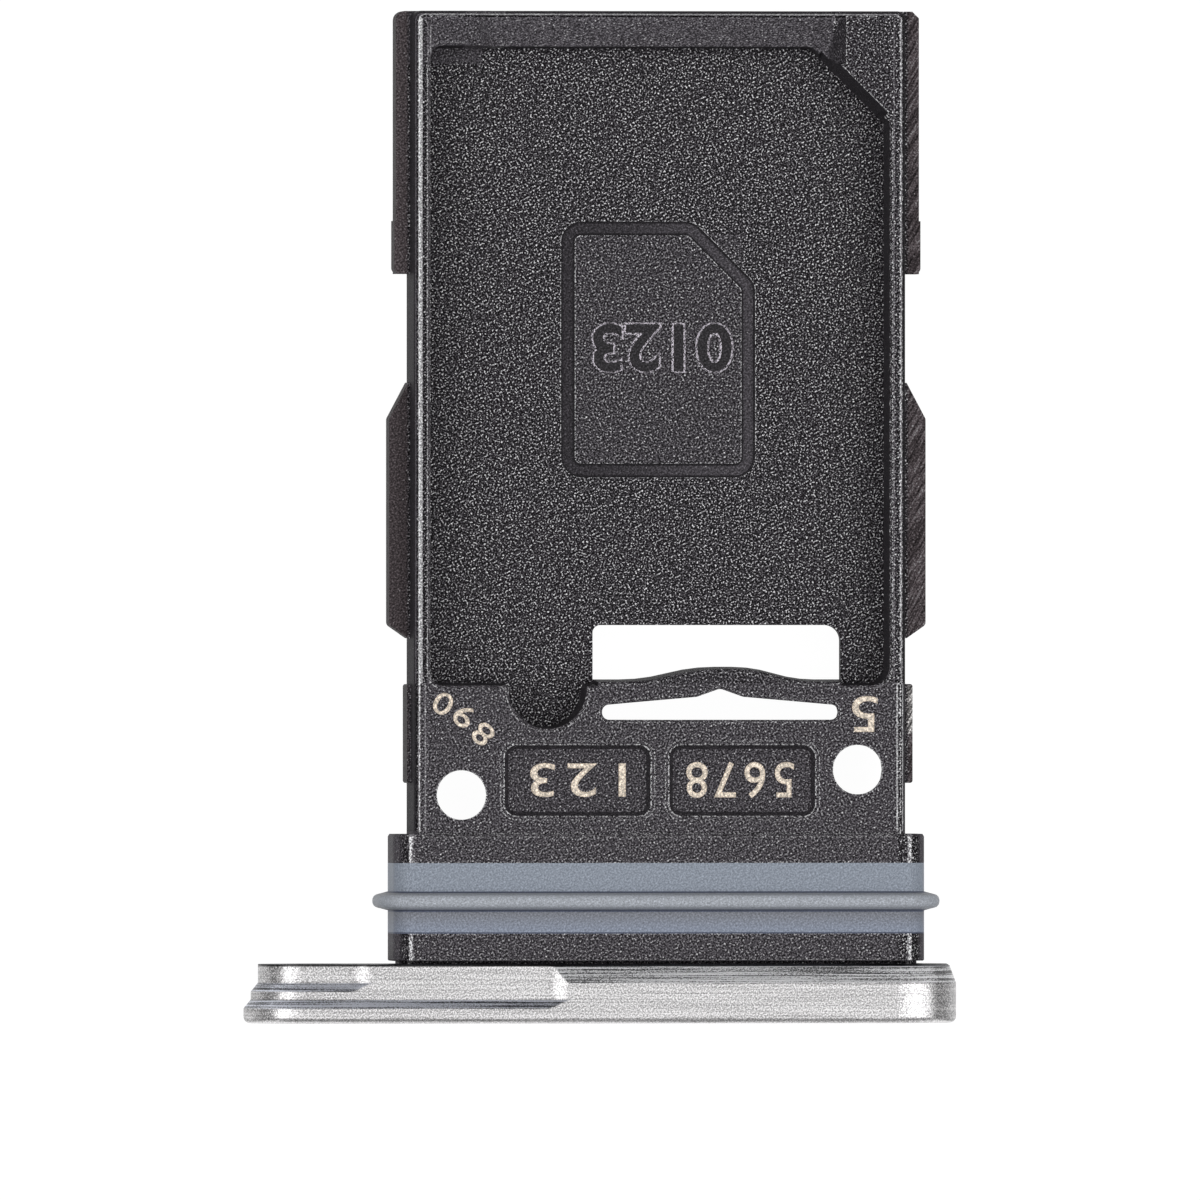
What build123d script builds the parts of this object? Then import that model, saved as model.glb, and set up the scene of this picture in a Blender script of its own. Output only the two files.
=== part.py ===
from build123d import *
import os
from math import atan2, degrees, radians, tan

# A tray that carries a nano card into a phone: a black moulded carrier, a silicone seal ring and a metal end cap.
# Millimetres. X runs across the tray, Y from the cap's face to the tip that goes in first, Z up.

# The card and its seat
card_width = 8.8
card_length = 12.3
card_thickness = 0.67
card_side_gap = 0.03
card_end_gap = 0.01
card_top_gap = 0.03
card_corner_cut = 1.45
pocket_corner_radius = 0.2
pocket_heel_radius = 0.32
pocket_draft = 4.0
key_wall_draft = 13.0
key_wall_length = 1.49
lip_width = 0.05
lip_angle = 60.0
web_thickness = 0.3
chamfer_angle = 45.0

# The end cap
cap_width = 13.89
cap_height = 2.5
cap_thickness = 1.15
cap_edge_radius = 0.13
cap_back_slope_depth = 0.14
cap_back_slope_length = 0.375
cap_back_chamfer = 0.04
cap_step_depth = 0.14
cap_flank_length = 0.17
cap_first_step_start = 0.46
cap_second_step_start = 0.785
cap_first_step_run_out = 0.6
cap_second_step_run_out = 4.43
cap_run_out_length = 0.58
cap_run_out_overrun = 0.004
pin_hole_diameter = 1.1
pin_hole_chamfer = 0.095
pin_hole_offset = 5.57

# The tongue that is bonded into the cap, and the gap left in front of the plug
carrier_offset = 1.09
tongue_width = 10.1
tongue_height = 1.1
tongue_corner_radius = 0.2
tongue_depth = 0.5
bond_gap = 0.02
shadow_gap = 0.06

# The plug and its seal
plug_width = 10.36
plug_height = 1.88
plug_length = 2.46
plug_corner_radius = 0.42
plug_front_chamfer = 0.02
seal_front_land = 0.53
seal_length = 1.37
seal_depth = 0.3
bead_width = 0.37
bead_shift = 0.055
bead_height = 0.3
bead_flank = 0.08
bead_crest_radius = 0.12

# The carrier's body
shoulder_length = 2.93
tip_wall = 0.72
body_width = 9.72
body_side_draft = 5.5
body_tip_radius = 0.15
rim_edge_radius = 0.14
tip_notch_width = 6.53
tip_notch_shift = 0.055
tip_notch_depth = 0.28
tip_notch_outer_depth = 0.06
tip_notch_end_angle = 48.0
tip_notch_overrun = 0.3

# Guide rails and detent pads on the sides
rail_thickness = 0.7
front_rail_width = 10.2
front_rail_length = 5.1
front_rail_corner = 0.18
front_rail_chamfer = 0.13
front_bump_width = 10.26
front_bump_length = 1.03
front_bump_corner = 0.12
rear_rail_width = 10.46
rear_rail_start = 0.87
rear_rail_length = 4.96
rear_rail_lead_in = 0.7
rear_rail_tail = 0.26
rear_rail_corner = 0.1
detent_width = 9.86
detent_shift = 0.035
detent_start = 0.99
detent_length = 1.92
detent_thickness = 0.9
detent_corner = 0.05

# The spring arm that presses on the card, with the window in front of it and the slot behind it
arm_center = 1.17
window_width = 4.84
window_length = 1.125
window_left_radius = 0.15
window_right_radius = 0.3
arm_lift = 0.07
arch_height = 0.245
arch_left = -1.885
arch_flat_left = -0.02
arch_flat_right = 0.29
arch_right = 1.9
slot_width = 4.59
slot_start = 2.22
slot_end_height = 0.28
slot_crown = 0.16
slot_end_radius = 0.135
slot_draft = 5.5
notch_height = 0.16
notch_half_width = 0.45
notch_radius = 0.16

# Finger scallop, shallow panels, tooling holes and the card outline sunk in the floor
scallop_center = -2.19
scallop_flank = 0.01
scallop_radius = 0.71
scallop_edge_radius = 0.12
panel_width = 2.89
panel_length = 1.42
panel_gap = 0.32
panel_start = 0.33
panel_depth = 0.12
panel_draft = 40.0
panel_corner_radius = 0.26
tooling_hole_diameter = 0.96
tooling_hole_draft = 5.5
left_hole_x = -3.87
left_hole_start = 0.76
right_hole_x = 3.85
right_hole_start = 1.25
outline_width = 3.79
outline_length = 4.97
outline_start = 3.99
outline_shift = 0.03
outline_groove = 0.27
outline_depth = 0.07
outline_draft = 30.0
outline_corner_radius = 0.4
outline_corner_cut = 1.2

# Sizes that follow from those above
pocket_depth = card_thickness + card_top_gap
lip_height = lip_width / tan(radians(lip_angle))
body_height = 2 * pocket_depth + web_thickness
pocket_width = card_width + 2 * card_side_gap
pocket_length = card_length + 2 * card_end_gap
plug_start = cap_thickness + shadow_gap
plug_end = plug_start + plug_length
pocket_start = plug_end + shoulder_length
pocket_end = pocket_start + pocket_length
tray_length = pocket_end + tip_wall
seal_start = plug_start + seal_front_land
body_top = body_height / 2
web_top = web_thickness / 2


def box(width, length, height, y_start, x=0, z=0):
    """A block centred on x and z that starts at y_start."""
    return Pos(x, y_start + length / 2, z) * Box(width, length, height)


def along_y(section, start, length, taper=0):
    """A section drawn in X and Z, carried along Y from start."""
    return extrude(Plane.XZ.offset(-start) * section, -length, taper=taper)


def both_faces(cutter):
    """The same cutter on the upper and the lower face."""
    return cutter + mirror(cutter, Plane.XY)


def both_sides(rail):
    """The same rail on the right and the left."""
    return rail + mirror(rail, Plane.YZ)


def body():
    """The carrier's bar: six-sided in section, widest at half height, with rounded edges."""
    inset = body_top * tan(radians(body_side_draft))
    half = body_width / 2
    section = Polygon(
        (-half, 0),
        (-half + inset, -body_top),
        (half - inset, -body_top),
        (half, 0),
        (half - inset, body_top),
        (-half + inset, body_top),
        align=None,
    )
    bar = along_y(section, plug_end, tray_length - plug_end)
    tip = bar.faces().sort_by(Axis.Y)[-1]
    bar = fillet(tip.edges().filter_by(Axis.X, reverse=True), body_tip_radius)
    layers = bar.faces().sort_by(Axis.Z)
    rims = [layer.edges().sort_by(Axis.Y)[1:] for layer in (layers[0], layers[-1])]
    return fillet([*rims[0], *rims[1]], rim_edge_radius)


def front_rails():
    """The rails at the tip, one rounded and one cut at its corner, each with a bump at its rear end."""
    rear = tray_length - front_rail_length
    outline = Pos(0, rear + front_rail_length / 2) * Rectangle(front_rail_width, front_rail_length)
    outline = fillet(outline.vertices().group_by(Axis.X)[0].sort_by(Axis.Y)[-1], front_rail_corner)
    outline = chamfer(outline.vertices().group_by(Axis.X)[-1].sort_by(Axis.Y)[-1], front_rail_chamfer)
    rails = extrude(outline, rail_thickness / 2, both=True)
    bumps = box(front_bump_width, front_bump_length, rail_thickness, rear)
    rear_corners = bumps.edges().filter_by(Axis.Z).group_by(Axis.Y)[0]
    return rails + fillet(rear_corners, front_bump_corner)


def rear_rails():
    """The rails beside the pocket, with a long lead-in towards the tip and a short tail."""
    inner = body_width / 2
    outer = rear_rail_width / 2
    start = pocket_start + rear_rail_start
    end = start + rear_rail_length
    outline = Polygon(
        (0, start),
        (inner, start),
        (outer, start + rear_rail_tail),
        (outer, end - rear_rail_lead_in),
        (inner, end),
        (0, end),
        align=None,
    )
    outline = fillet(outline.vertices().group_by(Axis.X)[-1], rear_rail_corner)
    return both_sides(extrude(outline, rail_thickness / 2, both=True))


def detents():
    """Low pads beside the shoulder that click into the slot's spring."""
    pads = box(detent_width, detent_length, detent_thickness, plug_end + detent_start, detent_shift)
    return fillet(pads.edges().filter_by(Axis.Z), detent_corner)


def plug():
    """The rounded block that fills the slot, with the groove that the seal ring sits in."""
    outline = RectangleRounded(plug_width, plug_height, plug_corner_radius)
    block = along_y(outline, plug_start, plug_length)
    front = block.faces().sort_by(Axis.Y)[0]
    block = chamfer(front.edges(), plug_front_chamfer)
    rear = block.faces().sort_by(Axis.Y)[-1]
    block = chamfer(rear.edges(), lip_height, lip_width, reference=rear)
    return block - (along_y(outline, seal_start, seal_length) - along_y(seal_bed(), seal_start, seal_length))


def seal_bed():
    """The section left inside the seal groove."""
    return RectangleRounded(
        plug_width - 2 * seal_depth,
        plug_height - 2 * seal_depth,
        plug_corner_radius - seal_depth,
    )


def tongue(gap=0):
    """The tongue on the plug's front, or with a gap the socket that takes it."""
    section = RectangleRounded(tongue_width + 2 * gap, tongue_height + 2 * gap, tongue_corner_radius + gap)
    return along_y(section, cap_thickness - tongue_depth, tongue_depth + shadow_gap)


def s_bend(start, end):
    """Two equal arcs from start to end that leave and arrive level."""
    middle = (Vector(start) + Vector(end)) / 2
    first = TangentArc(start, middle, tangent=(end[0] - start[0], 0))
    second = TangentArc(middle, end, tangent=first % 1)
    return [first, second]


def arch():
    """The bowed front edge of the spring arm, which stands into the pocket with a short flat crown."""
    root = pocket_start + arm_lift
    crown = root + arch_height
    rear = pocket_start - arm_lift
    left = arm_center - window_width / 2
    right = arm_center + window_width / 2
    bow_left = (arm_center + arch_left, root)
    flat_left = (arm_center + arch_flat_left, crown)
    flat_right = (arm_center + arch_flat_right, crown)
    bow_right = (arm_center + arch_right, root)
    edges = [
        *s_bend(bow_left, flat_left),
        Line(flat_left, flat_right),
        *s_bend(flat_right, bow_right),
        *Polyline(bow_right, (right, root), (right, rear), (left, rear), (left, root), bow_left).edges(),
    ]
    return make_face(edges)


def seat():
    """The card's outline with its clearance and its slanted corner."""
    outline = Pos(0, pocket_start + pocket_length / 2) * Rectangle(pocket_width, pocket_length)
    key_corner = outline.vertices().group_by(Axis.Y)[-1].sort_by(Axis.X)[-1]
    outline = chamfer(key_corner, card_corner_cut)
    rear_corners, *other_corners = outline.vertices().group_by(Axis.Y)
    rear_left = rear_corners.sort_by(Axis.X)[0]
    outline = fillet([rear_left, *other_corners[0], *other_corners[1]], pocket_corner_radius)
    heel = outline.vertices().group_by(Axis.Y)[0].sort_by(Axis.X)[-1]
    return fillet(heel, pocket_heel_radius)


def scallop():
    """The half-round bay that lets a fingernail lift the card out."""
    lip = scallop_edge_radius
    lip_y = pocket_start - lip
    bay_y = lip_y - scallop_flank
    left = scallop_center - scallop_radius
    right = scallop_center + scallop_radius
    edges = [
        CenterArc((left - lip, lip_y), lip, 90, -90),
        Line((left, lip_y), (left, bay_y)),
        CenterArc((scallop_center, bay_y), scallop_radius, 180, 180),
        Line((right, bay_y), (right, lip_y)),
        CenterArc((right + lip, lip_y), lip, 180, -90),
        *Polyline(
            (right + lip, pocket_start),
            (right + lip, pocket_start + lip),
            (left - lip, pocket_start + lip),
            (left - lip, pocket_start),
        ).edges(),
    ]
    return make_face(edges)


def lip(outline):
    """A slight bevel round an opening in the body's top."""
    return extrude(Pos(0, 0, body_top) * offset(outline, lip_width), -lip_height, taper=lip_angle)


def key_wall():
    """The flatter wall along the pocket's slanted corner, a little shorter than the slant."""
    middle = card_corner_cut / 2
    slant = Pos(pocket_width / 2 - middle, pocket_end - middle, web_top) * Rot(0, 0, chamfer_angle)
    strip = slant * Rectangle(card_corner_cut, key_wall_length, align=(Align.MAX, Align.CENTER))
    return extrude(strip, pocket_depth, taper=-key_wall_draft)


def pocket():
    """The card's space, open upwards, with drafted walls and a slight bevel round its rim."""
    outline = seat() + scallop() - arch()
    space = extrude(Pos(0, 0, web_top) * outline, pocket_depth, taper=-pocket_draft)
    spread = pocket_depth * tan(radians(pocket_draft))
    flare = lip_height * (lip_width + spread) / lip_width
    return space + extrude(Pos(0, 0, body_top - flare) * outline, flare, taper=-lip_angle) + key_wall()


def window():
    """The opening through the web in front of the spring arm."""
    opening = Pos(arm_center, pocket_start + window_length / 2) * Rectangle(window_width, window_length)
    opening = fillet(opening.vertices().group_by(Axis.Y)[-1].sort_by(Axis.X)[0], window_left_radius)
    opening = fillet(opening.vertices().group_by(Axis.Y)[-1].sort_by(Axis.X)[-1], window_right_radius)
    return extrude(opening - arch(), web_thickness, both=True)


def slot():
    """The slot behind the spring arm, crowned towards the arm with a small notch at its middle."""
    left = arm_center - slot_width / 2
    right = arm_center + slot_width / 2
    rear = plug_end + slot_start
    side = rear + slot_end_height
    crown = side + slot_crown
    outline = Polygon(
        (left, rear),
        (right, rear),
        (right, side),
        (arm_center + notch_half_width, crown),
        (arm_center, crown + notch_height),
        (arm_center - notch_half_width, crown),
        (left, side),
        align=None,
    )
    by_height = outline.vertices().group_by(Axis.Y)
    outline = fillet([*by_height[-1], *by_height[-2]], notch_radius)
    by_side = outline.vertices().group_by(Axis.X)
    outline = fillet([*by_side[0], *by_side[-1]], slot_end_radius)
    return extrude(Pos(0, 0, body_top) * outline, -body_height, taper=-slot_draft) + lip(outline)


def tip_notch():
    """The lowered middle of the tip wall: a ramp from a rounded brow to the pocket, between sloped ends."""
    half = tip_notch_width / 2
    spread = 2 * tip_notch_depth * tan(radians(tip_notch_end_angle))
    across = Polygon(
        (-half, body_top - tip_notch_depth),
        (half, body_top - tip_notch_depth),
        (half + spread, body_top + tip_notch_depth),
        (-half - spread, body_top + tip_notch_depth),
        align=None,
    )
    across = Pos(tip_notch_shift, 0) * across
    brow = (tray_length, body_top - tip_notch_outer_depth)
    rear = pocket_end - tip_notch_overrun
    ramp = Polygon(
        (rear, body_top - tip_notch_depth),
        (pocket_end, body_top - tip_notch_depth),
        brow,
        (tray_length, body_top - tip_notch_depth),
        (tray_length + tip_wall, body_top - tip_notch_depth),
        (tray_length + tip_wall, body_top + tip_notch_depth),
        (rear, body_top + tip_notch_depth),
        align=None,
    )
    ramp = fillet(ramp.vertices().sort_by_distance(brow)[0], rim_edge_radius)
    return along_y(across, rear, tray_length - rear) & extrude(Plane.YZ * ramp, body_width / 2, both=True)


def panels():
    """Two shallow panels behind the slot."""
    panel = RectangleRounded(panel_width, panel_length, panel_corner_radius)
    shift = (panel_width + panel_gap) / 2
    center_y = plug_end + panel_start + panel_length / 2
    pair = Pos(shift, center_y) * panel + Pos(-shift, center_y) * panel
    return extrude(Pos(0, 0, body_top) * pair, -panel_depth, taper=panel_draft) + lip(pair)


def tooling_holes():
    """Two holes that locate the moulding in its tools, drafted from the lower face."""
    rim = Circle(tooling_hole_diameter / 2)
    left = Pos(left_hole_x, plug_end + left_hole_start, body_top) * rim
    right = Pos(right_hole_x, plug_end + right_hole_start, body_top) * rim
    return extrude(left + right, -body_height, taper=-tooling_hole_draft)


def card_outline():
    """The outline of a card sunk in the pocket's floor, which shows how the card goes in."""
    center_y = pocket_start + outline_start + outline_length / 2
    card = Pos(outline_shift, center_y, web_top) * Rectangle(outline_width, outline_length)
    key_corner = card.vertices().group_by(Axis.Y)[-1].sort_by(Axis.X)[-1]
    card = chamfer(key_corner, outline_corner_cut)
    card = fillet(card.vertices(), outline_corner_radius)
    groove = card - offset(card, -outline_groove)
    return extrude(groove, -outline_depth, taper=outline_draft)


def card_carrier():
    """The black moulding, in one piece."""
    carrier = body() + front_rails() + rear_rails() + detents()
    carrier -= both_faces(pocket() + tip_notch())
    carrier -= window()
    carrier -= slot()
    carrier -= panels()
    carrier -= tooling_holes()
    carrier -= card_outline()
    carrier += plug() + tongue()
    return carrier


def seal_ring():
    """The silicone ring: a band flush with the plug, and one bead with slanted flanks and a rounded crest."""
    band = along_y(RectangleRounded(plug_width, plug_height, plug_corner_radius), seal_start, seal_length)
    bead_section = RectangleRounded(
        plug_width + 2 * bead_height,
        plug_height + 2 * bead_height,
        plug_corner_radius + bead_height,
    )
    crest = bead_width - 2 * bead_flank
    crest_start = seal_start + (seal_length - crest) / 2 - bead_shift
    slant = degrees(atan2(bead_height, bead_flank))
    bead = along_y(bead_section, crest_start, crest)
    bead += along_y(bead_section, crest_start, -bead_flank, slant)
    bead += along_y(bead_section, crest_start + crest, bead_flank, slant)
    layers = bead.edges().group_by(Axis.Y)
    bead = fillet([*layers[2], *layers[-3]], bead_crest_radius)
    return band + bead - along_y(seal_bed(), seal_start, seal_length)


def cap_step(depth, start, run_out):
    """A milled step round the pin hole's end: a slanted flank, a flat floor, and a run-out at both ends."""
    floor = cap_height / 2 - depth
    top = floor + cap_step_depth + cap_run_out_overrun
    end_center = cap_width / 2 - cap_height / 2
    foot = run_out + cap_run_out_length
    route = Wire(
        [
            *s_bend((-run_out, top), (-foot, floor)),
            Line((-foot, floor), (-end_center, floor)),
            CenterArc((-end_center, 0), floor, 90, 180),
            Line((-end_center, -floor), (-foot, -floor)),
            *s_bend((-foot, -floor), (-run_out, -top)),
        ]
    )
    route = Plane.XZ * route
    reach = depth + cap_step_depth
    flank = reach * cap_flank_length / cap_step_depth
    section = Polygon(
        (0, start),
        (0, cap_thickness + reach),
        (reach, cap_thickness + reach),
        (reach, start - flank),
        align=None,
    )
    across = Vector(0, 1, 0).cross(route % 0)
    return sweep(Plane(origin=route @ 0, x_dir=across, z_dir=route % 0) * section, route)


def pin_hole():
    """The hole for the eject pin, straight through the cap with a chamfered mouth."""
    radius = pin_hole_diameter / 2
    hole = along_y(Circle(radius), 0, cap_thickness)
    mouth = along_y(Circle(radius + pin_hole_chamfer), 0, pin_hole_chamfer, taper=chamfer_angle)
    return Pos(-pin_hole_offset, 0) * (hole + mouth)


def end_cap():
    """The metal cap: a long rounded plate, sloped at the back and stepped at the pin hole's end."""
    outline = SlotOverall(cap_width, cap_height)
    front_length = cap_thickness - cap_back_slope_length
    slope = degrees(atan2(cap_back_slope_depth, cap_back_slope_length))
    plate = along_y(outline, 0, front_length)
    face = plate.faces().sort_by(Axis.Y)[0]
    plate = fillet(face.edges(), cap_edge_radius)
    plate += along_y(outline, front_length, cap_back_slope_length, taper=slope)
    back = plate.faces().sort_by(Axis.Y)[-1]
    plate = chamfer(back.edges(), cap_back_chamfer)
    plate -= cap_step(cap_step_depth, cap_first_step_start, cap_first_step_run_out)
    plate -= cap_step(2 * cap_step_depth, cap_second_step_start, cap_second_step_run_out)
    return plate - pin_hole() - Pos(carrier_offset, 0) * tongue(bond_gap)


def placed(piece):
    """Moves a piece to the tray's own origin: the middle of its footprint, on the surface that it lies on."""
    return Pos(0, -tray_length / 2, cap_height / 2) * piece


if __name__ == "__main__":
    os.makedirs("parts", exist_ok=True)
    export_step(placed(Pos(carrier_offset, 0) * card_carrier()), "parts/card_carrier.step")
    export_step(placed(Pos(carrier_offset, 0) * seal_ring()), "parts/seal_ring.step")
    export_step(placed(end_cap()), "parts/end_cap.step")
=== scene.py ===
from math import radians, tan

import bpy
from mathutils import Matrix, Vector


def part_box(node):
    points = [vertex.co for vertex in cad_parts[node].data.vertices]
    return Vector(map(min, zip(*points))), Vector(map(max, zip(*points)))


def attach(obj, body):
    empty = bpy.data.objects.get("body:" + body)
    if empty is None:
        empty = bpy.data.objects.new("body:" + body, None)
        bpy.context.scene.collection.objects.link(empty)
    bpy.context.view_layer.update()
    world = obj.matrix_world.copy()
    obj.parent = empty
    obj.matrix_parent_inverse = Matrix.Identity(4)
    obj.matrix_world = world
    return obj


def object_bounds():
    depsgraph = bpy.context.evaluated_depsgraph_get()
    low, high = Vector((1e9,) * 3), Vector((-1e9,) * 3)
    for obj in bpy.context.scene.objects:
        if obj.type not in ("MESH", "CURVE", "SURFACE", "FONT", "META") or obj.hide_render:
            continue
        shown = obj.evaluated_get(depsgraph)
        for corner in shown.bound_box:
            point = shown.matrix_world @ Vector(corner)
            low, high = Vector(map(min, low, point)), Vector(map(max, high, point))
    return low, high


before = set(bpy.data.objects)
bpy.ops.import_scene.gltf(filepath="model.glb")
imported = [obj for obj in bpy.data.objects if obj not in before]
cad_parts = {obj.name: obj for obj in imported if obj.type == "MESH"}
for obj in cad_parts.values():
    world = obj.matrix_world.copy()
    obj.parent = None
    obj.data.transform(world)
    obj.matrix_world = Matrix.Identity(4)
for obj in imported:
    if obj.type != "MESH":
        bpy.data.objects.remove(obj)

cad_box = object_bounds()
MM = 0.001


# The card carrier: one black moulding with a fine spark-eroded grain on its flat faces.
# The rails, the ramp at the tip and the sunk outline come from polished parts of the mould, so they are
# smoother. Every rounded or slanted edge shines with painted highlight glints, the rim carries painted
# highlight and shade lines, and the walls painted shade. The right rails show slanting marks of the cutter.
def add(tree, kind, inputs, **settings):
    """A new node of that kind with its settings, values and links; gives its outputs."""
    node = tree.nodes.new(kind)
    for name, value in settings.items():
        setattr(node, name, value)
    for socket, value in inputs.items():
        if isinstance(value, bpy.types.NodeSocket):
            tree.links.new(value, node.inputs[socket])
        else:
            node.inputs[socket].default_value = value
    return node.outputs


def calc(tree, operation, *values):
    """The result of one sum on values or sockets."""
    return add(tree, "ShaderNodeMath", dict(enumerate(values)), operation=operation)[0]


def step(tree, value, low, high):
    """A soft step from 0 at low to 1 at high."""
    inputs = {"Value": value, "From Min": low, "From Max": high}
    return add(tree, "ShaderNodeMapRange", inputs, interpolation_type="SMOOTHSTEP")["Result"]


def between(tree, value, low, high):
    """1 between low and high, 0 elsewhere."""
    above = calc(tree, "GREATER_THAN", value, low)
    return calc(tree, "MULTIPLY", above, calc(tree, "LESS_THAN", value, high))


def blend(tree, factor, first, second):
    """A value that goes from the first to the second with the factor."""
    return add(tree, "ShaderNodeMix", {0: factor, 2: first, 3: second})[0]


def mixed(tree, factor, first, second):
    """A colour that goes from the first to the second with the factor."""
    return add(tree, "ShaderNodeMix", {0: factor, 6: first, 7: second}, data_type="RGBA")[2]


def shaded(tree, colour, shade):
    """A colour multiplied by a shade."""
    return add(tree, "ShaderNodeVectorMath", {0: colour, "Scale": shade}, operation="SCALE")[0]


def bumped(tree, height, depth, normal):
    """A normal roughened by that height."""
    return add(tree, "ShaderNodeBump", {"Distance": depth, "Height": height, "Normal": normal})[0]


def new_material(name, **values):
    """A material with one Principled shader; gives it, its tree, the shader's inputs and the place."""
    material = bpy.data.materials.new(name)
    material.use_nodes = True
    tree = material.node_tree
    shader = tree.nodes["Principled BSDF"].inputs
    for socket, value in values.items():
        shader[socket.replace("_", " ")].default_value = value
    return material, tree, shader, add(tree, "ShaderNodeTexCoord", {})["Object"]


def give(piece, material):
    """Sets a piece's only material."""
    piece.data.materials.clear()
    piece.data.materials.append(material)


NOISE_MIDDLE = 0.5
NOISE_DETAIL = 2.0
NOISE_ROUGHNESS = 0.6
SPARKLE_LEVEL = 0.77
SPARKLE_SLOPE = -0.02
SPARKLE_RISE = 0.08

# The rare bright points are painted glints: the flashes of light off the grain's tiny facets, put into the
# colour.
marks_group = bpy.data.node_groups.new("surface_marks", "ShaderNodeTree")
for socket, kind in {"Place": "Vector", "Turn": "Vector", "Size": "Vector", "Contrast": "Float"}.items():
    marks_group.interface.new_socket(socket, in_out="INPUT", socket_type="NodeSocket" + kind)
for socket in ("Shade", "Sparkle", "Height"):
    marks_group.interface.new_socket(socket, in_out="OUTPUT", socket_type="NodeSocketFloat")
given = marks_group.nodes.new("NodeGroupInput").outputs
turned = add(
    marks_group,
    "ShaderNodeMapping",
    {"Vector": given["Place"], "Rotation": given["Turn"], "Scale": given["Size"]},
    vector_type="TEXTURE",
)[0]
pattern = {"Vector": turned, "Scale": 1.0, "Detail": NOISE_DETAIL, "Roughness": NOISE_ROUGHNESS}
noise = add(marks_group, "ShaderNodeTexNoise", pattern)[0]
swing = calc(marks_group, "SUBTRACT", noise, NOISE_MIDDLE)
swing = calc(marks_group, "MULTIPLY", swing, given["Contrast"])
crest = calc(marks_group, "MULTIPLY_ADD", given["Contrast"], SPARKLE_SLOPE, SPARKLE_LEVEL)
sparkle = step(marks_group, calc(marks_group, "SUBTRACT", noise, crest), 0.0, SPARKLE_RISE)
results = {"Shade": calc(marks_group, "POWER", 10.0, swing), "Sparkle": sparkle, "Height": noise}
add(marks_group, "NodeGroupOutput", results)


def marks(tree, place, size, contrast, turn):
    """Random marks of that size along each axis, turned about Z: a shade, rare bright points that are painted
    glints, and a height.
    """
    inputs = {"Place": place, "Turn": (0, 0, turn), "Size": size, "Contrast": contrast}
    return add(tree, "ShaderNodeGroup", inputs, node_tree=marks_group)


# The length of a normal's upright part runs from 0 on a wall to 1 on a flat face.
WALL_TILT = (0.4, 0.6)
FLAT_TILT = (0.995, 0.96)
SIDE_TILT = (0.05, 0.2)
EDGE_GLINT_GRAIN = (0.45, 0.55)
EDGE_GLINTS_ACROSS = 0.4

# Painted highlight: bright glints of the grain on rounded edges, full on edges that face sideways toward the
# lamps and weaker on the others, standing in for the light the edges catch.
edge_group = bpy.data.node_groups.new("painted_edge_glints", "ShaderNodeTree")
edge_group.interface.new_socket("Normal", in_out="INPUT", socket_type="NodeSocketVector")
edge_group.interface.new_socket("Grain", in_out="INPUT", socket_type="NodeSocketFloat")
for socket in ("Edge", "EdgeGlints"):
    edge_group.interface.new_socket(socket, in_out="OUTPUT", socket_type="NodeSocketFloat")
given = edge_group.nodes.new("NodeGroupInput").outputs
tilt = add(edge_group, "ShaderNodeSeparateXYZ", {0: given["Normal"]})
upright = calc(edge_group, "ABSOLUTE", tilt[2])
off_wall = step(edge_group, upright, *WALL_TILT)
on_edge = calc(edge_group, "MULTIPLY", off_wall, step(edge_group, upright, *FLAT_TILT))
edge_glints = calc(edge_group, "MULTIPLY", on_edge, step(edge_group, given["Grain"], *EDGE_GLINT_GRAIN))
sideways = step(edge_group, calc(edge_group, "ABSOLUTE", tilt[0]), *SIDE_TILT)
edge_glints = calc(edge_group, "MULTIPLY", edge_glints, blend(edge_group, sideways, EDGE_GLINTS_ACROSS, 1.0))
add(edge_group, "NodeGroupOutput", {"Edge": on_edge, "EdgeGlints": edge_glints})


def edges(tree, normal, grain):
    """Where a normal lies on an edge, and the painted highlight glints of the grain there, mostly on side
    edges.
    """
    return add(tree, "ShaderNodeGroup", {"Normal": normal, "Grain": grain["Height"]}, node_tree=edge_group)


CHARCOAL = (0.06, 0.0555, 0.0625, 1)
RAIL_BROWN = (0.066, 0.055, 0.0585, 1)
PAINTED_HIGHLIGHT_GREY = (0.059, 0.059, 0.06, 1)
RUBBED_GREY = (0.27, 0.26, 0.257, 1)
GRAIN_SIZE = Vector((0.036, 0.036, 0.01)) * MM
GRAIN_TURN = radians(27)
GRAIN_DEPTH = 0.007 * MM
SPARKLE_SHADE = 28.0
FLOOR_CONTRAST = 8.2
FLOOR_SHADE = 0.51
PAINTED_GROOVE_SHADES = (0.72, 1.2)
PAINTED_WALL_SHADES = (1.5, 0.55)
FRONT_RAIL_SHADES = (1.38, 1.18)
REAR_RAIL_SHADES = (1.0, 1.36)
PAINTED_HIGHLIGHT_SHADES = (2.0, 6.0)
STEEP_FACE = (0.84, 0.7)
FLAT_FACE = (0.93, 0.97)
EDGE_ROUND = 0.04 * MM
EDGE_FOOT = 0.76 * MM
EDGE_GLINT_SHADE = 16.0
DARKEST_SHADE = 0.1
BRIGHTEST_SHADE = 18.0
FLOOR_TOP = 0.3 * MM
RIM_FOOT = 0.6 * MM
GROOVE_TOP = 0.14 * MM
GROOVE_FOOT = 0.12 * MM
RAIL_INNER = 4.82 * MM
RAIL_OUTER = 4.92 * MM
REAR_RAIL_TIP = 4.5 * MM
RAMP_LENGTH = 1.02 * MM
RAMP_HALF = 3.4 * MM
RAMP_FOOT = 0.45 * MM
POCKET_REAR = -3.22 * MM
PLUG_REAR = -6.1 * MM
ROUND_INNER = 4.62 * MM
PLAIN_LEFT = -3.8 * MM
PLAIN_RIGHT = -3.0 * MM
PLATEAU_MIDDLE = Vector((1.12, 3.255, 0)) * MM
PLATEAU_HALF = Vector((1.64, 2.23, 0)) * MM
OUTLINE_HALF = Vector((1.95, 2.53, 0)) * MM
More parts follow.
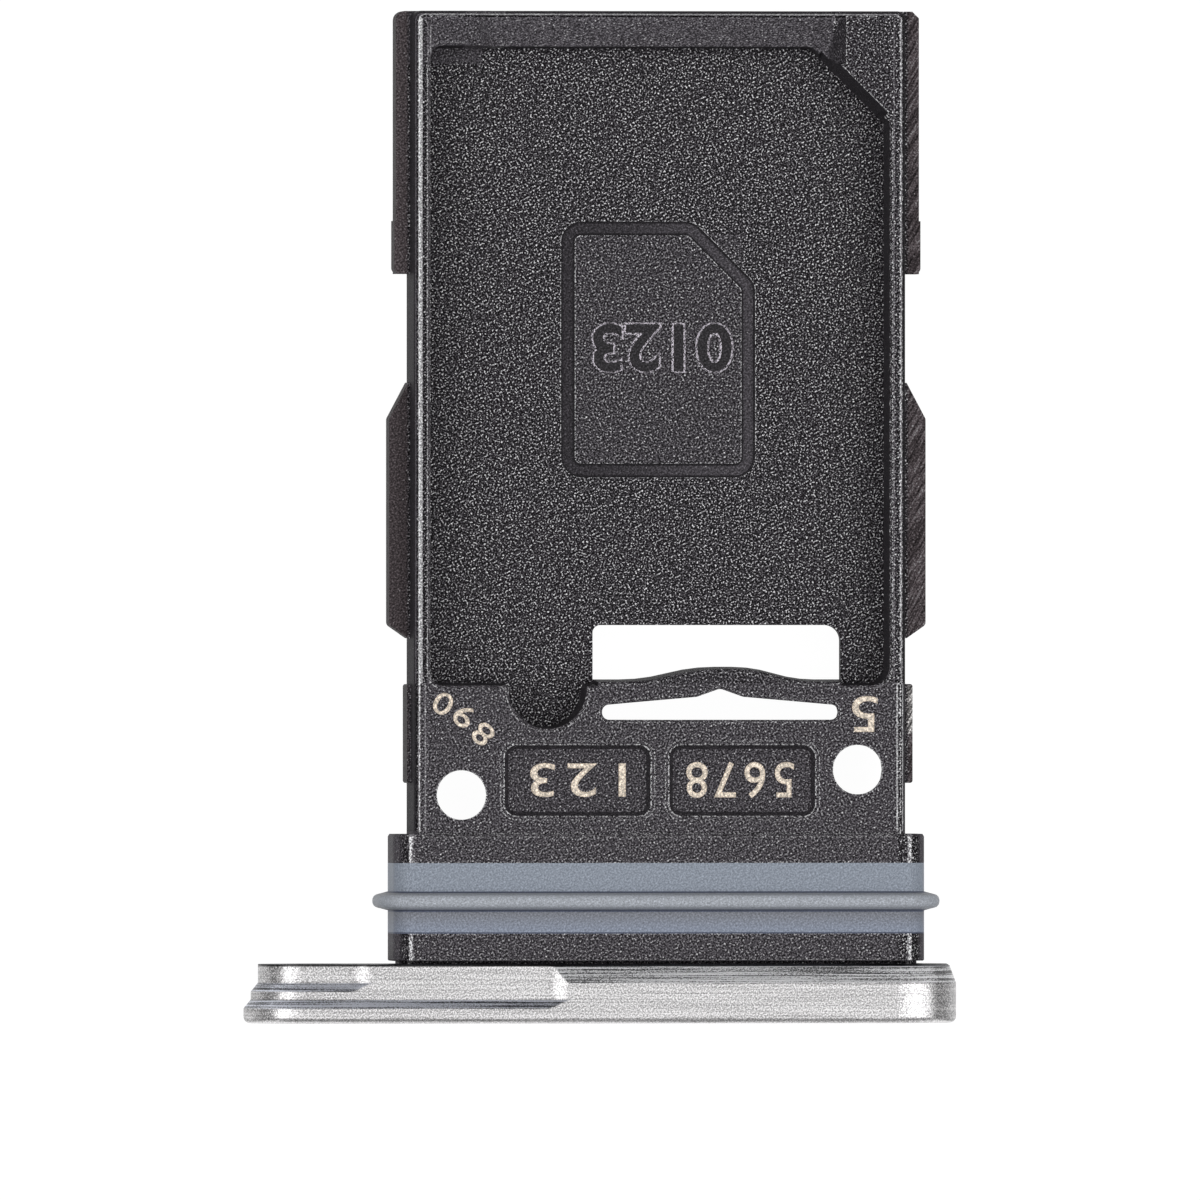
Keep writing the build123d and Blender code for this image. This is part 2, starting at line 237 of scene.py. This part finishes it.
TOOL_MARK_SIZE = Vector((0.6, 0.045, 0.6)) * MM
TOOL_MARK_TURN = radians(60)
TOOL_CONTRASTS = (2.4, 4.0)
RUB_REAR = -4.2 * MM
RUB_FRONT = -3.26 * MM
RIM_HALF = 4.775 * MM
RIM_CORNER = 0.2 * MM
LINE_GRAIN = (0.4, 0.6)
LINE_GAINS = (0.6, 1.4)
# Painted highlight and shade: each line lies between two distances inside the rim's outline, in mm, and adds
# that much to the shade; a positive line is a painted highlight of a rounded edge, a negative one painted
# shade beside it.
TIP_PAINTED_LINES = ((0.055, 0.082, 4.5), (0.082, 0.125, -1.05), (0.125, 0.15, 0.5))
LEFT_PAINTED_LINES = (
    (0.01, 0.03, 1.3), (0.03, 0.064, -0.5), (0.066, 0.146, 6.5), (0.16, 0.225, -0.35),
    (0.235, 0.262, 0.9), (0.292, 0.318, 3.0),
)
RIGHT_PAINTED_LINES = ((-0.055, -0.035, 6.0), (-0.035, 0.04, -0.3), (0.055, 0.085, 4.0), (0.2, 0.225, 1.5))
LEFT_SHOULDER_PAINTED_LINES = ((0.02, 0.06, -0.6), (0.069, 0.1, 4.5), (0.186, 0.215, 2.5))
RIGHT_SHOULDER_PAINTED_LINES = ((0.03, 0.055, 5.0), (0.07, 0.115, -0.75), (0.135, 0.168, 6.0))
PLUG_PAINTED_LINES = ((-0.3, -0.13, -0.7), (-0.12, -0.04, 3.0))

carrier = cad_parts["card_carrier"]
carrier_low, carrier_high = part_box("card_carrier")
carrier_mid = (carrier_low + carrier_high) / 2

plastic, tree, shader, place = new_material("charcoal_plastic", Roughness=0.45, Specular_IOR_Level=0.02)
x, y, z = add(tree, "ShaderNodeSeparateXYZ", {0: place})
side = calc(tree, "SUBTRACT", x, carrier_mid.x)
from_middle = calc(tree, "ABSOLUTE", side)
from_tip = calc(tree, "SUBTRACT", carrier_high.y, y)
above_web = calc(tree, "ABSOLUTE", calc(tree, "SUBTRACT", z, carrier_mid.z))
beside_card = calc(tree, "GREATER_THAN", y, POCKET_REAR)
before_plug = calc(tree, "GREATER_THAN", y, PLUG_REAR)
to_right = calc(tree, "GREATER_THAN", side, 0.0)
on_rim = step(tree, above_web, FLOOR_TOP, RIM_FOOT)
on_shoulder = calc(tree, "MULTIPLY", on_rim, calc(tree, "SUBTRACT", 1.0, beside_card))
on_tip = calc(tree, "LESS_THAN", from_tip, RAMP_LENGTH)
in_panel = calc(tree, "MULTIPLY", on_shoulder, calc(tree, "LESS_THAN", above_web, EDGE_FOOT))
on_left_pad = calc(tree, "MULTIPLY", on_tip, calc(tree, "LESS_THAN", side, -RAMP_HALF))
on_right = calc(tree, "MULTIPLY", on_rim, calc(tree, "GREATER_THAN", side, RAMP_HALF))
on_right = calc(tree, "MULTIPLY", on_right, beside_card)
on_right_round = calc(tree, "MULTIPLY", on_rim, calc(tree, "GREATER_THAN", side, ROUND_INNER))
on_ramp = calc(tree, "MULTIPLY", on_tip, calc(tree, "LESS_THAN", from_middle, RAMP_HALF))
on_ramp = calc(tree, "MULTIPLY", on_ramp, calc(tree, "GREATER_THAN", above_web, RAMP_FOOT))
on_rail = calc(tree, "MULTIPLY", step(tree, from_middle, RAIL_INNER, RAIL_OUTER), before_plug)
in_groove = step(tree, above_web, GROOVE_TOP, GROOVE_FOOT)
low, high = PLATEAU_MIDDLE - PLATEAU_HALF, PLATEAU_MIDDLE + PLATEAU_HALF
on_plateau = calc(tree, "MULTIPLY", between(tree, x, low.x, high.x), between(tree, y, low.y, high.y))
# Painted light and shade: the sunk outline is lighter on its right side than on its left, as the light falls.
painted_groove_shade = blend(tree, step(tree, x, low.x, high.x), *PAINTED_GROOVE_SHADES)
low, high = PLATEAU_MIDDLE - OUTLINE_HALF, PLATEAU_MIDDLE + OUTLINE_HALF
at_outline = calc(tree, "MULTIPLY", between(tree, x, low.x, high.x), between(tree, y, low.y, high.y))
plain = calc(tree, "MULTIPLY", on_tip, between(tree, side, PLAIN_LEFT, PLAIN_RIGHT))
off_plain = calc(tree, "SUBTRACT", 1.0, plain)
facing = add(tree, "ShaderNodeSeparateXYZ", {0: add(tree, "ShaderNodeNewGeometry", {})["Normal"]})[2]
upright = calc(tree, "ABSOLUTE", facing)
on_wall = calc(tree, "MULTIPLY", step(tree, upright, *STEEP_FACE), off_plain)
# Painted shade: steep walls are darker, while the plug's walls are painted lighter.
painted_wall_shade = blend(tree, before_plug, *PAINTED_WALL_SHADES)
# Partly painted light: the rails' shades are raised to make up for the light the rails miss, by amounts that
# differ front and rear, left and right.
front_rail_shade = blend(tree, to_right, *FRONT_RAIL_SHADES)
rear_rail_shade = blend(tree, to_right, *REAR_RAIL_SHADES)
rail_shade = blend(tree, calc(tree, "LESS_THAN", y, REAR_RAIL_TIP), front_rail_shade, rear_rail_shade)

# Each kind of face has its own contrast of grain and its own shade; the floor of the pocket comes first.
# The shades are partly painted light and shade: the walls darker and the plug's walls lighter, the sunk
# outline lighter on its right side than its left, and the rails lighter to make up for the light they miss;
# the rounded right rim's stronger grain gives painted glints.
contrast = FLOOR_CONTRAST
shade = FLOOR_SHADE
for face, face_contrast, face_shade in (
    (on_plateau, 5.9, 0.84),
    (on_rim, 6.0, 0.71),
    (on_left_pad, 4.0, 1.08),
    (on_right, 7.2, 0.6),
    (on_shoulder, 5.0, 1.07),
    (in_panel, 4.9, 0.94),
    (on_right_round, 8.0, 0.52),
    (on_ramp, 3.6, 1.23),
    (on_rail, 2.5, rail_shade),
    (in_groove, 2.5, painted_groove_shade),
    (on_wall, 2.5, painted_wall_shade),
):
    contrast = blend(tree, face, contrast, face_contrast)
    shade = blend(tree, face, shade, face_shade)
grain = marks(tree, place, GRAIN_SIZE, contrast, GRAIN_TURN)
# Painted glints: the grain's rare bright points lighten the colour.
sparkling = calc(tree, "MULTIPLY_ADD", grain["Sparkle"], SPARKLE_SHADE, grain["Shade"])
shade = calc(tree, "MULTIPLY", shade, sparkling)

rounded = add(tree, "ShaderNodeBevel", {"Radius": EDGE_ROUND}, samples=4)[0]
at_edge = calc(tree, "MAXIMUM", at_outline, calc(tree, "GREATER_THAN", above_web, EDGE_FOOT))
at_edge = calc(tree, "MULTIPLY", at_edge, calc(tree, "SUBTRACT", off_plain, in_groove))
at_edge = calc(tree, "MULTIPLY", at_edge, step(tree, upright, *FLAT_FACE))
# Painted highlight: glints of the grain along the top edges and the sunk outline.
edge_glints = calc(tree, "MULTIPLY", edges(tree, rounded, grain)["EdgeGlints"], at_edge)
shade = calc(tree, "MULTIPLY_ADD", edge_glints, EDGE_GLINT_SHADE, shade)

# The painted highlight and shade lines along the rim and the plug lie at set distances inside the rim's
# outline, which is round at the corners of the tip.
across = calc(tree, "SUBTRACT", from_middle, RIM_HALF - RIM_CORNER)
along = calc(tree, "SUBTRACT", RIM_CORNER, from_tip)
past_corner = {0: calc(tree, "MAXIMUM", across, 0.0), 1: calc(tree, "MAXIMUM", along, 0.0)}
past_corner = add(tree, "ShaderNodeCombineXYZ", past_corner)[0]
past_corner = add(tree, "ShaderNodeVectorMath", {0: past_corner}, operation="LENGTH")["Value"]
before_corner = calc(tree, "MINIMUM", calc(tree, "MAXIMUM", across, along), 0.0)
inset = calc(tree, "SUBTRACT", RIM_CORNER, calc(tree, "ADD", past_corner, before_corner))
at_side = calc(tree, "MULTIPLY", calc(tree, "GREATER_THAN", across, along), before_plug)
at_right = calc(tree, "MULTIPLY", at_side, to_right)
at_left = calc(tree, "SUBTRACT", at_side, at_right)
lines = 0.0
for zone, zone_lines in (
    (calc(tree, "LESS_THAN", across, along), TIP_PAINTED_LINES),
    (calc(tree, "MULTIPLY", at_left, beside_card), LEFT_PAINTED_LINES),
    (calc(tree, "MULTIPLY", at_right, beside_card), RIGHT_PAINTED_LINES),
    (calc(tree, "MULTIPLY", at_left, on_shoulder), LEFT_SHOULDER_PAINTED_LINES),
    (calc(tree, "MULTIPLY", at_right, on_shoulder), RIGHT_SHOULDER_PAINTED_LINES),
    (calc(tree, "SUBTRACT", 1.0, before_plug), PLUG_PAINTED_LINES),
):
    for low, high, gain in zone_lines:
        on_painted_line = calc(tree, "MULTIPLY", between(tree, inset, low * MM, high * MM), zone)
        lines = calc(tree, "MULTIPLY_ADD", on_painted_line, gain, lines)
broken = blend(tree, step(tree, grain["Height"], *LINE_GRAIN), *LINE_GAINS)
lines = calc(tree, "MULTIPLY", lines, broken)
shade = calc(tree, "MULTIPLY_ADD", lines, on_rim, shade)

on_right_rail = calc(tree, "MULTIPLY", on_rail, to_right)
rubbed = calc(tree, "MULTIPLY", on_right_rail, between(tree, y, RUB_REAR, RUB_FRONT))
tool = marks(tree, place, TOOL_MARK_SIZE, blend(tree, rubbed, *TOOL_CONTRASTS), TOOL_MARK_TURN)
shade = calc(tree, "MULTIPLY", shade, blend(tree, on_right_rail, 1.0, tool["Shade"]))
shade = calc(tree, "MAXIMUM", calc(tree, "MINIMUM", shade, BRIGHTEST_SHADE), DARKEST_SHADE)
tint = mixed(tree, on_rail, CHARCOAL, RAIL_BROWN)
# Painted highlight: where the shade is brightest, the colour turns a neutral grey.
tint = mixed(tree, step(tree, shade, *PAINTED_HIGHLIGHT_SHADES), tint, PAINTED_HIGHLIGHT_GREY)
tint = mixed(tree, rubbed, tint, RUBBED_GREY)
tree.links.new(shaded(tree, tint, shade), shader["Base Color"])
tree.links.new(bumped(tree, grain["Height"], GRAIN_DEPTH, rounded), shader["Normal"])
give(carrier, plastic)


# The number in the sunk outline: four digits that stand up a hair from the floor.
# They are polished in the mould, so they are smooth and dark, and their edges carry painted highlight glints
# as the carrier's do.
DIGIT_THICKNESS = 0.01
DIGIT_CURVE_STEPS = 5


def digits(name, text, size, middle, turn, spacing, bold, slope):
    """A row of plain digits as a thin plate of that size, with sloping edges, turned about Z."""
    curve = bpy.data.curves.new(name, "FONT")
    curve.body = text
    curve.offset = bold
    curve.extrude = DIGIT_THICKNESS
    curve.bevel_depth = slope
    curve.bevel_resolution = 0
    curve.space_character = spacing
    curve.resolution_u = DIGIT_CURVE_STEPS
    writer = bpy.data.objects.new(name, curve)
    bpy.context.scene.collection.objects.link(writer)
    bpy.context.view_layer.update()
    mesh = bpy.data.meshes.new_from_object(writer.evaluated_get(bpy.context.evaluated_depsgraph_get()))
    bpy.data.objects.remove(writer)
    corners = [vertex.co for vertex in mesh.vertices]
    low = Vector([min(corner[axis] for corner in corners) for axis in range(3)])
    high = Vector([max(corner[axis] for corner in corners) for axis in range(3)])
    scale = [wanted / (top - bottom) for wanted, top, bottom in zip(size, high, low)]
    mesh.transform(
        Matrix.Translation(middle)
        @ Matrix.Rotation(turn, 4, "Z")
        @ Matrix.Diagonal((*scale, 1))
        @ Matrix.Translation(-(low + high) / 2)
    )
    piece = bpy.data.objects.new(name, mesh)
    bpy.context.scene.collection.objects.link(piece)
    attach(piece, "root")
    return piece


UPSIDE_DOWN = radians(180)
NUMBER_SIZE = Vector((2.79, 1.01, 0.06)) * MM
NUMBER_MIDDLE = Vector((1.2, 3.29, 1.4)) * MM
NUMBER_BOLD = 0.02
NUMBER_SLOPE = 0.03
SMOOTH_BLACK = Vector((0.03, 0.028, 0.031))
NUMBER_CONTRAST = 2.5
NUMBER_EDGE_GLINT_SHADE = 28.0

number = digits(
    "card_number", "0123", NUMBER_SIZE, NUMBER_MIDDLE, UPSIDE_DOWN, 1.0, NUMBER_BOLD, NUMBER_SLOPE,
)
polished, tree, shader, place = new_material("polished_plastic", Roughness=0.35, Specular_IOR_Level=0.1)
grain = marks(tree, place, GRAIN_SIZE, NUMBER_CONTRAST, GRAIN_TURN)
sloping = add(tree, "ShaderNodeNewGeometry", {})["Normal"]
# Painted highlight: glints of the grain on the digits' sloping edges.
shade = calc(tree, "MULTIPLY_ADD", edges(tree, sloping, grain)["EdgeGlints"], NUMBER_EDGE_GLINT_SHADE, grain["Shade"])
tree.links.new(shaded(tree, SMOOTH_BLACK, shade), shader["Base Color"])
give(number, polished)


# The laser marks: plain digits that read from the tip.
# The beam has bleached the surface of the black plastic to a mottled beige.
MARK_SPACING = 1.2
MARK_BOLD = 0.004
MARK_LIFT = 0.012
MARK_CONTRAST = 1.6
BLEACHED = (0.8, 0.7, 0.585, 1)
SCORCHED = (0.3, 0.21, 0.15, 1)

bleached, tree, shader, place = new_material("laser_mark", Roughness=0.6)
grain = marks(tree, place, GRAIN_SIZE, MARK_CONTRAST, GRAIN_TURN)
rounded = add(tree, "ShaderNodeBevel", {"Radius": EDGE_ROUND}, samples=4)[0]
edge = edges(tree, rounded, grain)["Edge"]
burn = mixed(tree, edge, BLEACHED, SCORCHED)
tree.links.new(shaded(tree, burn, grain["Shade"]), shader["Base Color"])

for name, text, width, height, middle, turn in (
    ("mark_left", "123", 1.86, 0.66, (-0.5, -5.1, 1.98), 180),
    ("mark_right", "5678", 2.1, 0.7, (2.66, -5.1, 1.98), 180),
    ("mark_corner", "5", 0.5, 0.7, (5.08, -3.82, 2.1), 180),
    ("mark_slant_1", "8", 0.36, 0.44, (-2.36, -4.21, 2.1), 138),
    ("mark_slant_2", "9", 0.36, 0.44, (-2.73, -3.86, 2.1), 143),
    ("mark_slant_3", "0", 0.36, 0.44, (-3.14, -3.62, 2.1), 149),
):
    size = Vector((width, height, MARK_LIFT)) * MM
    mark = digits(name, text, size, Vector(middle) * MM, radians(turn), MARK_SPACING, MARK_BOLD, 0.0)
    give(mark, bleached)


# The seal ring: blue-grey silicone, moulded in one, with one raised bead that presses on the slot.
# It is stretched into the groove of the plug and held there by its own grip. Its colours carry painted light
# and shade, painted shadow lines in its creases and faint painted glints.
SEAL_UPPER = (0.29, 0.325, 0.385, 1)
SEAL_PAINTED_CREST = (0.41, 0.435, 0.48, 1)
SEAL_PAINTED_FLANK_SHADE = (0.3, 0.305, 0.325, 1)
SEAL_PAINTED_FOOT_SHADE = (0.225, 0.235, 0.265, 1)
SEAL_LOWER = (0.27, 0.305, 0.385, 1)
SEAL_PAINTED_SHADOW_LINE = (0.1, 0.115, 0.165, 1)
BEAD_SHIFT = 0.055 * MM
BEAD_SHADOW_LINES = ((0.16, 0.19), (-0.21, -0.16))
BEAD_HALF = 0.175 * MM
CREST_TOP = 0.08 * MM
LOWER_SHADOW_LINE = 0.03 * MM
SEAL_CONTRAST = 0.9
SEAL_GRAIN_DEPTH = GRAIN_DEPTH / 3
SPECK_SHADE = 0.5

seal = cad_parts["seal_ring"]
seal_low, seal_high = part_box("seal_ring")
bead_y = (seal_low.y + seal_high.y) / 2 - BEAD_SHIFT

silicone, tree, shader, place = new_material("blue_grey_silicone", Roughness=0.5, Specular_IOR_Level=0.2)
y = add(tree, "ShaderNodeSeparateXYZ", {0: place})[1]
to_tip = calc(tree, "SUBTRACT", y, bead_y)
# Painted shade: the lower band darkens toward the bead, and the upper band is painted a little lighter than
# the lower.
band = mixed(tree, step(tree, y, bead_y - BEAD_HALF, seal_low.y), SEAL_PAINTED_FOOT_SHADE, SEAL_LOWER)
band = mixed(tree, calc(tree, "GREATER_THAN", to_tip, 0.0), band, SEAL_UPPER)
on_bead = between(tree, to_tip, -BEAD_HALF, BEAD_HALF)
# Painted light on the bead's crest and painted shade on its upper flank.
bead = mixed(tree, step(tree, to_tip, CREST_TOP, BEAD_HALF), SEAL_PAINTED_CREST, SEAL_PAINTED_FLANK_SHADE)
band = mixed(tree, on_bead, band, bead)
# Painted shadow lines in the creases at the bead's feet and along the seal's edge nearest the cap.
on_painted_line = calc(tree, "LESS_THAN", y, seal_low.y + LOWER_SHADOW_LINE)
for low, high in BEAD_SHADOW_LINES:
    on_painted_line = calc(tree, "MAXIMUM", on_painted_line, between(tree, to_tip, low * MM, high * MM))
band = mixed(tree, on_painted_line, band, SEAL_PAINTED_SHADOW_LINE)
grain = marks(tree, place, GRAIN_SIZE, SEAL_CONTRAST, GRAIN_TURN)
# Faint painted glints: the grain's rare bright points.
shade = calc(tree, "MULTIPLY_ADD", grain["Sparkle"], SPECK_SHADE, grain["Shade"])
tree.links.new(shaded(tree, band, shade), shader["Base Color"])
plain = add(tree, "ShaderNodeNewGeometry", {})["Normal"]
tree.links.new(bumped(tree, grain["Height"], SEAL_GRAIN_DEPTH, plain), shader["Normal"])
give(seal, silicone)


# The end cap: aluminium, milled all round in fine lines and then lightly blasted.
# The carrier's tongue is glued into its back.
ALUMINIUM = (0.6, 0.59, 0.595, 1)
SLOPE_PAINTED_GREY = (0.45, 0.45, 0.46, 1)
FLANK_PAINTED_BLUE = (0.5, 0.515, 0.57, 1)
LINE_SIZE = Vector((3.0, 0.03, 3.0)) * MM
LINE_DEPTH = 0.004 * MM
BLAST_SIZE = Vector((0.03, 0.03, 0.01)) * MM
SLOPE_ROUGHENING = 3.0
LINE_CONTRASTS = (0.7, 4.5)
BLAST_CONTRASTS = (2.0, 3.4)
SLOPE_TILT = (0.12, 0.3)
FLANK_TILT = (0.4, 0.6)
END_TILT = (0.5, 0.66)
SIDE_END_TILT = (0.78, 0.9)
PAINTED_END_SHADES = (0.42, 0.62)
BRIGHTEST_METAL = 1.6
BACK_STRIP_WIDTH = 0.06 * MM
BACK_PAINTED_SHADE = 0.1

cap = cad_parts["end_cap"]
cap_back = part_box("end_cap")[1].y
metal, tree, shader, place = new_material("satin_aluminium", Metallic=1.0, Roughness=0.34)
rounded = add(tree, "ShaderNodeBevel", {"Radius": EDGE_ROUND}, samples=4)[0]
tilt = add(tree, "ShaderNodeSeparateXYZ", {0: rounded})
to_end = calc(tree, "ABSOLUTE", tilt[0])
on_slope = step(tree, tilt[1], *SLOPE_TILT)
at_end = step(tree, to_end, *END_TILT)
lines = marks(tree, place, LINE_SIZE, blend(tree, on_slope, *LINE_CONTRASTS), 0.0)
speckle = blend(tree, calc(tree, "MAXIMUM", on_slope, at_end), *BLAST_CONTRASTS)
blast = marks(tree, place, BLAST_SIZE, speckle, GRAIN_TURN)
# Painted shade: the cap's rounded ends are darkened, a little less where they turn steepest, to dim the white
# table they reflect.
painted_end_shade = blend(tree, step(tree, to_end, *SIDE_END_TILT), *PAINTED_END_SHADES)
shade = calc(tree, "MULTIPLY", lines["Shade"], blast["Shade"])
shade = calc(tree, "MULTIPLY", shade, blend(tree, at_end, 1.0, painted_end_shade))
shade = calc(tree, "MINIMUM", shade, BRIGHTEST_METAL)
y = add(tree, "ShaderNodeSeparateXYZ", {0: place})[1]
# Painted shadow: a thin strip along the cap's back edge is darkened almost to black, for the shadowed gap
# beside the plug.
on_back_strip = step(tree, y, cap_back - BACK_STRIP_WIDTH, cap_back - BACK_STRIP_WIDTH / 2)
shade = calc(tree, "MULTIPLY", shade, blend(tree, on_back_strip, 1.0, BACK_PAINTED_SHADE))
# Painted shade and reflection: the back slope is painted a darker grey, and the steep flanks a darker
# blue-grey for the bluish surroundings they reflect.
tint = mixed(tree, on_slope, ALUMINIUM, SLOPE_PAINTED_GREY)
tint = mixed(tree, step(tree, tilt[1], *FLANK_TILT), tint, FLANK_PAINTED_BLUE)
tree.links.new(shaded(tree, tint, shade), shader["Base Color"])
roughening = blend(tree, on_slope, 1.0, SLOPE_ROUGHENING)
height = calc(tree, "MULTIPLY_ADD", lines["Height"], on_slope, blast["Height"])
height = calc(tree, "MULTIPLY", height, roughening)
tree.links.new(bumped(tree, height, LINE_DEPTH, rounded), shader["Normal"])
give(cap, metal)


# The table: a plain white surface that shows white to the camera and keeps a faint shadow.
TABLE_HALF = 1.5
TABLE_GLOW = 0.975
TABLE_GREY = (0.095, 0.095, 0.095, 1)

table_mesh = bpy.data.meshes.new("table")
corners = [(-TABLE_HALF, -TABLE_HALF, 0), (TABLE_HALF, -TABLE_HALF, 0)]
corners += [(TABLE_HALF, TABLE_HALF, 0), (-TABLE_HALF, TABLE_HALF, 0)]
table_mesh.from_pydata(corners, [], [(0, 1, 2, 3)])
table = bpy.data.objects.new("table", table_mesh)
bpy.context.scene.collection.objects.link(table)
white = bpy.data.materials.new("white_table")
white.use_nodes = True
tree = white.node_tree
tree.nodes.clear()
ray = add(tree, "ShaderNodeLightPath", {})
seen = calc(tree, "MAXIMUM", ray["Is Camera Ray"], ray["Is Glossy Ray"])
seen = calc(tree, "MAXIMUM", seen, ray["Is Transmission Ray"])
glow = add(tree, "ShaderNodeEmission", {"Strength": calc(tree, "MULTIPLY", seen, TABLE_GLOW)})[0]
matt = add(tree, "ShaderNodeBsdfDiffuse", {"Color": TABLE_GREY})[0]
add(tree, "ShaderNodeOutputMaterial", {"Surface": add(tree, "ShaderNodeAddShader", {0: glow, 1: matt})[0]})
give(table, white)


# The studio light: a soft dome that is brightest overhead, and a strip lamp at each side.
LAMP_DISTANCE = 0.25
OVERHEAD = (0.6, 1.0)
DOME_STRENGTHS = (0.27, 0.95)
WHITE = (1, 1, 1, 1)


def strip(name, bearing, from_zenith, span, width, power):
    """A strip lamp that faces the tray, at that bearing and angle from straight overhead."""
    lamp = bpy.data.lights.new(name, "AREA")
    lamp.shape = "RECTANGLE"
    lamp.size = 2 * LAMP_DISTANCE * tan(radians(span / 2))
    lamp.size_y = width
    lamp.energy = power
    holder = bpy.data.objects.new(name, lamp)
    turn = Matrix.Rotation(radians(bearing), 4, "Z") @ Matrix.Rotation(radians(from_zenith), 4, "Y")
    holder.matrix_world = turn @ Matrix.Translation((0, 0, LAMP_DISTANCE))
    bpy.context.scene.collection.objects.link(holder)


strip("right_strip", bearing=0, from_zenith=45, span=40, width=0.16, power=0.2)
strip("left_strip", bearing=180, from_zenith=52, span=36, width=0.16, power=0.18)

world = bpy.data.worlds.new("studio")
bpy.context.scene.world = world
world.use_nodes = True
tree = world.node_tree
toward = add(tree, "ShaderNodeTexCoord", {})["Generated"]
up = add(tree, "ShaderNodeSeparateXYZ", {0: toward})[2]
dome = blend(tree, step(tree, up, *OVERHEAD), *DOME_STRENGTHS)
tree.links.new(dome, tree.nodes["Background"].inputs["Strength"])
tree.nodes["Background"].inputs["Color"].default_value = WHITE


# The camera looks straight down through a long lens, leaning a few degrees to the left.
IMAGE_PIXELS = 1200
PIXELS_PER_MM = 51.5
CAP_FACE_PIXEL = 1022.9
CAMERA_DISTANCE = 0.8
CAMERA_LEAN = radians(5.5)
CLIP_START = 0.01
SENSOR = 36.0

bpy.context.scene.view_settings.view_transform = "Standard"
camera = bpy.data.cameras.new("camera")
camera.sensor_width = SENSOR
camera.lens = SENSOR * CAMERA_DISTANCE * PIXELS_PER_MM / (IMAGE_PIXELS * MM)
camera.clip_start = CLIP_START
above_face = (CAP_FACE_PIXEL - IMAGE_PIXELS / 2) / PIXELS_PER_MM * MM
aim = Vector((0, cad_box[0][1] + above_face, carrier_mid.z))
lean = Matrix.Rotation(-CAMERA_LEAN, 4, "Y")
eye = bpy.data.objects.new("camera", camera)
eye.matrix_world = Matrix.Translation(aim) @ lean @ Matrix.Translation((0, 0, CAMERA_DISTANCE))
bpy.context.scene.collection.objects.link(eye)
bpy.context.scene.camera = eye
